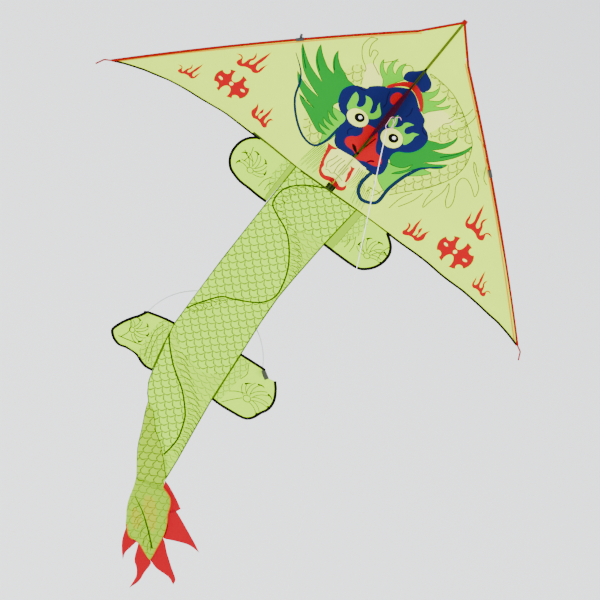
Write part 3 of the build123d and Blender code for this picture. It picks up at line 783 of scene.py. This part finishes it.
def claw(x, drop, heading, bend=1, size=1.0):
    """A drawn foot with five curled toes: strokes as (points, width)."""
    drawn = [(oval(x, drop, 7 * size, 6 * size, count=8) + [(x + 7 * size, drop)], 2.2)]
    for turn, reach in TOES:
        line = []
        for step in (0.2, 0.45, 0.7, 0.9, 1.0):
            angle = radians(heading + turn + bend * 24 * step * step)
            line.append((x + reach * size * step * cos(angle), drop + reach * size * step * sin(angle)))
        (ax, ad), (bx, bd) = line[0], line[3]
        across = ((bd - ad) / hypot(bx - ax, bd - ad), -(bx - ax) / hypot(bx - ax, bd - ad))
        for edge in (-3.6 * size, 3.6 * size):
            drawn.append(([(q[0] + across[0] * edge, q[1] + across[1] * edge) for q in line[:4]], 2.0))
        angle = radians(heading + turn + bend * 105)
        tip = (line[3][0] + 13 * size * cos(angle), line[3][1] + 13 * size * sin(angle))
        drawn.append(([line[3], ((line[4][0] + tip[0]) / 2, (line[4][1] + tip[1]) / 2), tip], (6.5, 1.2)))
    return drawn


def rounded(line, keep=()):
    """A smooth outline with the corners of the given points kept."""
    return smooth([(*q, 1) if i in keep else q for i, q in enumerate(line)], steps=3)


for side, hand in SIDES:
    line = ARM[side]
    outline = rounded(line, (0, 1, 2, len(line) - 1))
    strip = DOUBLED[side]
    wrist = [(side * 136, 755), (side * 168, 755), (side * 172, 830), (side * 158, 880), (side * 134, 890)]
    drawing = [("wrist", wrist)]
    drawing += [("body_line", stroke(*q)) for q in claw(side * 232, 872, -92 - side * 16, side, 1.55)]
    drawing += [("body_line", stroke(q, 2.2)) for q in (
        [(side * x, d) for x, d in crease] for crease in UPPER_CREASES)]
    drawing.append(("overlap", strip))
    drawing.append(("body_edge", stroke([strip[0], (strip[4][0], 925)], 2.4)))
    drawing.append(("body_edge", stroke([strip[1], strip[2]], 1.4)))
    piece = cloth(f"arm_upper_{hand}_cloth", outline, drawing, sail_point, "body_plain", 12)
    fold_blend(piece)
    stand_in(piece, "body_cloth", f"arm_upper_{hand}")
    free = smooth([(*line[2], 1)] + line[3:], False, 3)
    piece = tape(f"arm_upper_{hand}_tape", free, ARM_TAPE_WIDTH, sail_point, "binding", ARM_TAPE_THICK)
    fold_blend(piece)
    stand_in(piece, "black_tape", f"arm_upper_binding_{hand}")

# ---- body strip ----
LEFT_EDGE = [(-129, 759), (-129, 913), (-126, 1180), (-114, 1471), (-93, 1565), (-71, 1660), (-60, 1698),
             (-38, 1736), (-19, 1758)]
RIGHT_EDGE = [(114, 759), (104, 925), (98, 1090), (97, 1180), (105, 1290), (121, 1427), (131, 1520),
              (140, 1613), (162, 1760), (180, 1873), (190, 1957)]
WAVE = [(-11, 762), (-72, 798), (-112, 848), (-113, 909), (-83, 935), (-21, 967), (22, 1011), (62, 1075),
        (84, 1145), (84, 1191), (57, 1232), (-7, 1271), (-48, 1291), (-78, 1334), (-100, 1372), (-112, 1400)]
WAVE_2 = [(-112, 1478), (-98, 1523), (-41, 1588), (-4, 1619), (47, 1657), (96, 1711), (114, 1743),
          (133, 1799), (136, 1844), (132, 1885)]


def at_drop(edge, drop):
    """How far across a line lies at this drop."""
    return float(np.interp(drop, [q[1] for q in edge], [q[0] for q in edge]))


def strip_outline(top, foot):
    """The body strip between two slanted cuts, each given as its drop on the left and right edges."""
    left = [(at_drop(LEFT_EDGE, d), d) for d in np.linspace(foot[0], top[0], 12)]
    right_side = [(at_drop(RIGHT_EDGE, d), d) for d in np.linspace(top[1], foot[1], 12)]
    return left + right_side


def squiggles():
    """Short curls between the wave line and the strip's edge."""
    drawn = []
    for d in np.arange(790, 1210, 17):
        x = at_drop(WAVE[:10], d)
        edge = at_drop(RIGHT_EDGE, d)
        if d < 940:
            drawn.append([(x + 6, d), (x + 20, d - 5), (x + 34, d - 3), (x + 30, d + 4)])
        elif edge - x > 24:
            reach = min(edge - x - 6, 46)
            drawn.append([(x + 8, d - 6), (x + 8 + reach * 0.5, d - 10), (x + 4 + reach, d - 2),
                          (x + 8 + reach * 0.6, d + 4)])
    for d in np.arange(1300, 1400, 14):
        x = at_drop(WAVE[11:], d)
        drawn.append([(x + 5, d), (x + 16, d - 7), (x + 28, d - 3), (x + 24, d + 6)])
    for d in np.arange(1560, 1870, 16):
        x = at_drop(WAVE_2, d)
        edge = at_drop(RIGHT_EDGE, d)
        if edge - x > 16:
            reach = min(edge - x - 6, 60)
            drawn.append([(x + 8, d - 8), (x + 6 + reach * 0.5, d - 14), (x + 4 + reach, d - 4)])
    return drawn


def body_print():
    p = []
    belly = WAVE[5:11] + [(57, 1232), (98, 1200), (94, 1180), (94, 1090), (100, 925), (40, 925)]
    p.append(("belly", belly))
    p.append(("belly", WAVE_2 + [(190, 1957), (180, 1873), (162, 1760), (140, 1613), (131, 1520), (60, 1560),
                                 (-40, 1540)]))
    p += [("body_line", stroke(s, 2.3, 2)) for s in squiggles()]
    p += [("body_line", stroke(WAVE, 5.4)), ("body_line", stroke(WAVE_2, 5.6))]
    for edge, inward in ((LEFT_EDGE, 1), (RIGHT_EDGE, -1)):
        p.append(("body_edge", stroke([(x + inward * 1.5, d) for x, d in edge], 5.0, 2)))
    p.append(("body_edge", stroke([(-95, 1560), (-84, 1620), (-75, 1655)], 6)))
    p.append(("body_edge", stroke([(119, 1427), (129, 1520), (139, 1613)], 5)))
    return p


BODY_PRINT = body_print()
STRIPS = [    # cuts at a panel's top and foot, the bodies it joins, and the hinge line between them
    ((760, 760), (1055, 1055), "frame", "tail_1", ((-126, 929), (106, 929))),
    ((1055, 1055), (1300, 1270), "tail_1", "tail_2", ((-124, 1181), (97, 1181))),
    ((1300, 1270), (1560, 1518), "tail_2", "tail_3", ((-117, 1441), (116, 1397))),
    ((1560, 1518), (1716, 1690), "tail_3", "tail_4", ((-67, 1675), (146, 1635)))]


def hinge_blend(piece, line, toward=None):
    """Work out a hinge line's normal, turned toward the given point, and bake the piece's placement into its
    mesh; the piece is not bent.
    """
    a, b = Vector(line[0]), Vector(line[1])
    middle = (a + b) / 2
    n = Vector((-(b - a).y, (b - a).x)).normalized()
    if toward is not None and n.dot(Vector(toward) - middle) < 0:
        n = -n
    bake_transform(piece)


for k, (top, foot, upper, lower, line) in enumerate(STRIPS, 1):
    outline = strip_outline(top, foot)
    piece = cloth(f"body_cloth_{k}", outline, BODY_PRINT, body_point, "body", 13)
    hinge_blend(piece, line)
    stand_in(piece, "body_cloth", f"body_panel_{k}")

# Panel 5 narrows to the crease, where the strip is folded back on itself.
CREASE = ((-19, 1758), (190, 1957))
panel_5 = [(at_drop(LEFT_EDGE, d), d) for d in (1756, 1736, 1716)] + [
    (at_drop(RIGHT_EDGE, d), d) for d in np.linspace(1690, 1957, 14)]
panel_5 += [(150, 1908), (129, 1887), (101, 1858), (62, 1829), (17, 1776), (-19, 1758)]
piece = cloth("body_cloth_5", panel_5, BODY_PRINT, body_point, "body", 12)
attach(piece, "tail_4")
stand_in(piece, "body_cloth", "body_panel_5")


def tail_wave(x, drop):
    return 4 * sin(drop / 60) * sin(x / 45)


def fold_surface(x, drop):
    """The folded part: two layers that roll a little at the crease."""
    (x0, d0), (x1, d1) = CREASE
    away = ((x - x0) * (d1 - d0) - (drop - d0) * (x1 - x0)) / hypot(x1 - x0, d1 - d0)
    roll = 5 * exp(-((abs(away) - 20) / 30) ** 2)
    return at(x, drop, ripple(x, drop) * 0.5 + roll + tail_wave(x, drop))


FOLD_LEFT = [(-19, 1758), (-6, 1795), (24, 1860), (53, 1926), (111, 2016)]
tail_fold = [(-19, 1758), (26, 1768), (70, 1821), (109, 1850), (137, 1879), (158, 1900), (190, 1954),
             (192, 1970), (208, 1996), (116, 2022)] + FOLD_LEFT[3:0:-1]
drawing = [("body_edge", stroke(FOLD_LEFT, 4, 2)),
           ("body_line", stroke([(-19, 1760), (17, 1778), (62, 1831), (101, 1860), (129, 1889),
                                 (190, 1957)], 3, 2)),
           ("body_edge", stroke([(132, 1885), (150, 1912), (188, 1952)], 3.5, 2))]
piece = cloth("tail_fold_cloth", rounded(tail_fold, (0, 6, 8, 9)), drawing, fold_surface, "folded", 11)
hinge_blend(piece, CREASE, (50, 1900))
stand_in(piece, "body_cloth", "tail_fold")

LEAF = [(108, 2010), (124, 2052), (135, 2092), (150, 2128), (169, 2159), (181, 2180), (192, 2193),
        (210, 2211), (228, 2216), (254, 2213), (285, 2228), (321, 2240), (314, 2190), (306, 2142),
        (298, 2110), (285, 2083), (269, 2057), (259, 2028), (242, 2003), (222, 1992), (202, 1984)]


def leaf_surface(x, drop):
    return at(x, drop, tail_wave(x, drop) + 3 * sin((x - drop) / 40) * min(1, max(0, drop - 2015) / 60))


# Two patches of painted shading on the leaf, then its edges and lines.
drawing = [("leaf_painted_shading", smooth([(172, 2050), (200, 2040), (238, 2080), (262, 2120), (268, 2150), (232, 2128),
                                 (190, 2092)])),
           ("leaf_painted_shading", smooth([(168, 2110), (196, 2118), (222, 2150), (216, 2178), (190, 2160),
                                 (172, 2134)])),
           ("orange", stroke(LEAF[5:] + [(198, 1975)], 7, 2)),
           ("dark_red", stroke([(228, 2219), (256, 2217), (321, 2243), (307, 2142), (286, 2083)], 3.0, 2)),
           ("body_line", stroke([(148, 2076), (175, 2092), (204, 2111), (250, 2150), (300, 2197)], (2.5, 6)))]
drawing += [("body_line", stroke(s, 1.8)) for s in (
    [(204, 2111), (196, 2136), (200, 2158)], [(222, 2126), (216, 2150), (222, 2172)],
    [(240, 2142), (236, 2168), (246, 2190)],
    [(260, 2158), (258, 2184), (270, 2204)], [(278, 2174), (280, 2196), (290, 2212)],
    [(180, 2094), (170, 2112), (172, 2128)],
    [(286, 2180), (292, 2194), (300, 2208)])]
outline = rounded(LEAF, (0, 11, 20))
piece = cloth("tail_leaf_cloth", outline, drawing, leaf_surface, "leaf", 10)
hinge_blend(piece, ((108, 2010), (200, 1984)), (220, 2150))
stand_in(piece, "body_cloth", "tail_leaf")

FINS = {
    "fin_1": [(191, 1962, 1), (215, 1972), (255, 1996), (291, 2020, 1), (285, 2036, 1), (274, 2050),
              (266, 2052), (257, 2026), (240, 2001), (214, 1987), (200, 1983)],
    "fin_2": [(269, 2054, 1), (272, 2038), (286, 2037), (320, 2052), (350, 2067), (395, 2092), (431, 2115, 1),
              (389, 2111), (350, 2123), (312, 2141, 1), (306, 2139), (299, 2110), (286, 2083)],
    "fin_3": [(307, 2141, 1), (320, 2152), (349, 2182), (395, 2220), (425, 2243), (430, 2264, 1), (401, 2251),
              (353, 2252), (321, 2243, 1), (314, 2190)],
    "fin_4": [(321, 2243, 1), (330, 2250), (332, 2290), (336, 2330), (325, 2371, 1), (319, 2322), (302, 2294),
              (278, 2271), (256, 2217, 1), (285, 2229)],
    "fin_5": [(181, 2178, 1), (192, 2193), (210, 2211), (228, 2216), (248, 2215, 1), (243, 2240), (240, 2268),
              (249, 2296, 1), (222, 2262), (202, 2228)]}


FIN_BEHIND = 5.0    # how far the fins lie behind the leaf
FIN_TUCK = 6.0    # how far a fin's root runs in under it


def fin_surface(x, drop):
    return at(x, drop, tail_wave(x, drop) + 3 * sin(x / 38 + drop / 52) + FIN_BEHIND)


def tucked(q):
    """Move a point of a fin's root in under the leaf."""
    near = min(hypot(q[0] - a, q[1] - b) for a, b in smooth(LEAF))
    if near > 4.5:
        return q
    away = Vector((220 - q[0], 2115 - q[1])).normalized() * FIN_TUCK
    return (q[0] + away.x, q[1] + away.y, *q[2:])


for name, line in FINS.items():
    outline = smooth([tucked(q) for q in line], steps=3)
    shade = [("fin_edge", stroke([q[:2] for q in line[3:-3]], 2.2, 2))]
    piece = cloth(name + "_cloth", outline, shade, fin_surface, "fin_red", 12)
    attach(piece, name)
    stand_in(piece, "fin_cloth", name)

# ---- lower arms ----
ARM_LOW_LEFT = [(-111, 1472), (-155, 1481), (-202, 1492), (-207, 1497), (-219, 1520), (-230, 1538),
                (-243, 1572), (-255, 1610), (-254, 1624), (-237, 1637), (-210, 1643), (-190, 1637),
                (-168, 1638), (-146, 1643), (-120, 1654), (-96, 1659), (-72, 1657)]
ARM_LOW_RIGHT = [(119, 1426), (160, 1424), (197, 1421), (213, 1421), (226, 1428), (240, 1437), (261, 1433),
                 (279, 1454), (296, 1484), (303, 1516), (300, 1540), (292, 1558), (280, 1592), (257, 1611),
                 (200, 1615), (140, 1616)]


def crumple(x, drop):
    """The left lower arm hangs in soft creases that run from the pocket to the body."""
    far = min(1.0, max(0.0, (-78 - x) / 60))
    y = 9 * sin((drop - 1472) / 17 + (x + 110) / 60) * sin((x + 112) / 50) + 6 * sin((drop + x) / 26)
    return at(x, drop, ripple(x, drop) * (1 - far) + y * far * 0.8)


def lower_point(x, drop, proud=0.0):
    far = min(1.0, max(0.0, (x - 125) / 60))
    y = 5 * sin((x - drop) / 45) + 3 * sin(drop / 20)
    return at(x, drop, ripple(x, drop) * (1 - far) + y * far + proud)



def lower_arm(hand, line, corners, surface, grid, wrist, foot, creases, seam):
    drawing = [("wrist", smooth(wrist))]
    drawing += [("body_line", stroke(*q)) for q in claw(*foot)]
    drawing += [("body_line", stroke(q, 2.3)) for q in creases]
    drawing.append(("body_edge", stroke(seam, 5)))
    outline = rounded(line, (0, *corners, len(line) - 1))
    piece = cloth(f"arm_lower_{hand}_cloth", outline, drawing, surface, "body_plain", grid)
    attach(piece, "tail_3")
    stand_in(piece, "body_cloth", f"arm_lower_{hand}")


lower_arm("left", ARM_LOW_LEFT, (2,), crumple, 8,
          wrist=[(-108, 1480), (-150, 1490), (-152, 1560), (-140, 1640), (-80, 1655), (-90, 1560)],
          foot=(-205, 1582, -30, -1, 1.35),
          creases=[[(-120, 1500), (-128, 1540), (-118, 1590), (-100, 1640)],
                   [(-136, 1496), (-146, 1530), (-138, 1570), (-120, 1636)],
                   [(-150, 1600), (-190, 1610), (-230, 1622)], [(-225, 1560), (-210, 1590), (-222, 1620)]],
          seam=[(-111, 1470), (-95, 1560), (-72, 1660)])
lower_arm("right", ARM_LOW_RIGHT, (3, 5, 6), lower_point, 10,
          wrist=[(121, 1430), (160, 1428), (168, 1500), (160, 1600), (141, 1612), (131, 1520)],
          foot=(228, 1548, -75, 1, 1.9),
          creases=[[(168, 1606), (186, 1584), (214, 1556)], [(166, 1560), (186, 1548), (214, 1536)],
                   [(160, 1440), (176, 1470), (170, 1500)]],
          seam=[(120, 1424), (130, 1520), (141, 1616)])
# The right binding leaves a short bare stretch beside the corner pocket.
for hand, parts, surface in (
        ("left", (ARM_LOW_LEFT,), crumple),
        ("right", (ARM_LOW_RIGHT[:4], ARM_LOW_RIGHT[6:]), lower_point)):
    for k, part in enumerate(parts):
        free = smooth([(*q, 1) if i == 0 or q == (-202, 1492) else q for i, q in enumerate(part)], False, 3)
        piece = tape(
            f"arm_lower_{hand}_tape_{k + 1}", free, ARM_TAPE_WIDTH, surface, "binding", ARM_TAPE_THICK)
        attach(piece, "tail_3")
        stand_in(piece, "black_tape", f"arm_lower_{hand}_binding")
corner = cloth("arm_corner_patch", [(205, 1421), (214, 1419), (240, 1436), (232, 1449), (218, 1441),
                                    (206, 1431)], [],
               lambda x, d: lower_point(x, d, -0.8), "patch", 8)
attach(corner, "tail_3")

# ---- keel ----
KEEL_EDGE = [(-1, 219), (-119, 361), (-1, 590)]    # Y and drop, beside the keel's hem


def keel_surface(y, drop):
    """The keel stands out from the spine and bulges to the left."""
    deep = min(1.0, -y / 60)
    rise = sin(pi * min(1.0, max(0.0, (drop - 217) / (593 - 217))))
    return at(-33 * deep * (1 - deep) * rise - 6 * rise * min(1, -y / 30), drop, y)


piece = cloth("keel_cloth", KEEL_EDGE, [("dark_red", stroke(KEEL_EDGE, 7, 8))], keel_surface, "keel_cloth", 9)
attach(piece, "keel")
stand_in(piece, "keel_cloth", "keel", "keel_binding")

# ---- flying line: a taut straight run from the thread loop's knot to the ring ----
KNOT, LINE_END = (0.0, 398.8, -139.6), (564.0, 1547.0, -1000.0)    # across, drop, Y
LINE_WIDTH, THREAD_WIDTH = 0.0025, 0.0016


def thread(name, route, width, material):
    """A round cord along a smooth curve of the route's points."""
    curve = bpy.data.curves.new(name, "CURVE")
    curve.dimensions = "3D"
    spline = curve.splines.new("NURBS")
    spline.points.add(len(route) - 1)
    for point, place in zip(spline.points, route):
        point.co = (*place, 1)
    spline.order_u = 3
    spline.use_endpoint_u = True
    curve.bevel_depth = width / 2
    curve.materials.append(MATERIALS[material])
    return add_object(name, curve)


route = [at(KNOT[0] + (LINE_END[0] - KNOT[0]) * t, KNOT[1] + (LINE_END[1] - KNOT[1]) * t,
            KNOT[2] + (LINE_END[2] - KNOT[2]) * t) for t in (0.0, 0.5, 1.0)]
line = thread("flying_line_cord", route, LINE_WIDTH, "braid")
line.data.bevel_resolution = 3
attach(line, "line")
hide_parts("flying_line")

# ---- loose thread ends at the eyelet ----
for k, ends in enumerate(([(0, 366, -114), (8, 378, -120), (16, 392, -118), (24, 404, -112)],
                          [(0, 366, -114), (6, 352, -118), (14, 346, -116), (22, 356, -112)])):
    obj = thread(f"thread_end_{k + 1}", [at(*q) for q in ends], THREAD_WIDTH, "pink")
    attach(obj, "line")

# ---- finishes of the CAD pieces ----
FINISH = {    # a material, and how the names of its nodes begin
    "le_red": ("le_sleeve", "tip_tape", "nose_cap", "nose_binding"),
    "dark_sleeve": ("spine_sleeve", "spine_pocket"),
    "patch": ("bow_pocket",),
    "fibre": ("le_spar", "spreader_rod", "spine_rod"),
    "clear_rod": ("bow_rod",),
    "plastic": ("tee_", "spreader_swivel", "spreader_cap", "spar_cap", "spine_cap", "keel_eyelet"),
    "braid": ("line_",),
    "pink": ("tow_",)}
for name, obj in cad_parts.items():
    for finish, starts in FINISH.items():
        if name.startswith(starts):
            obj.data.materials.clear()
            obj.data.materials.append(MATERIALS[finish])

# ---- floor, lights ----
FLOOR = -5.0
mesh = bpy.data.meshes.new("floor")
mesh.from_pydata([(-60, -60, FLOOR), (60, -60, FLOOR), (60, 60, FLOOR), (-60, 60, FLOOR)], [], [(0, 1, 2, 3)])
floor = add_object("floor", mesh)
pale = bpy.data.materials.new("floor")
pale.use_nodes = True
face = pale.node_tree.nodes["Principled BSDF"]
face.inputs["Base Color"].default_value = (0.93, 0.94, 0.96, 1)
face.inputs["Roughness"].default_value = 0.9
mesh.materials.append(pale)


MIDDLE, LIGHT_SIZE = (0, 0, -0.8), 8    # the lights aim at the kite's middle


def area_light(name, place, power):
    data = bpy.data.lights.new(name, "AREA")
    data.size = LIGHT_SIZE
    data.energy = power
    obj = add_object(name, data)
    obj.location = place
    obj.rotation_euler = (Vector(MIDDLE) - Vector(place)).to_track_quat("-Z", "Y").to_euler()


area_light("key", (-7, -14, 12), 5700)
area_light("fill", (10, -12, 6), 2300)
area_light("behind", (2, 9, 8), 1800)
world = bpy.data.worlds.new("world")
world.use_nodes = True
sky = world.node_tree.nodes["Background"]
sky.inputs[0].default_value = (0.95, 0.97, 1.0, 1)
sky.inputs[1].default_value = 1.06
bpy.context.scene.world = world
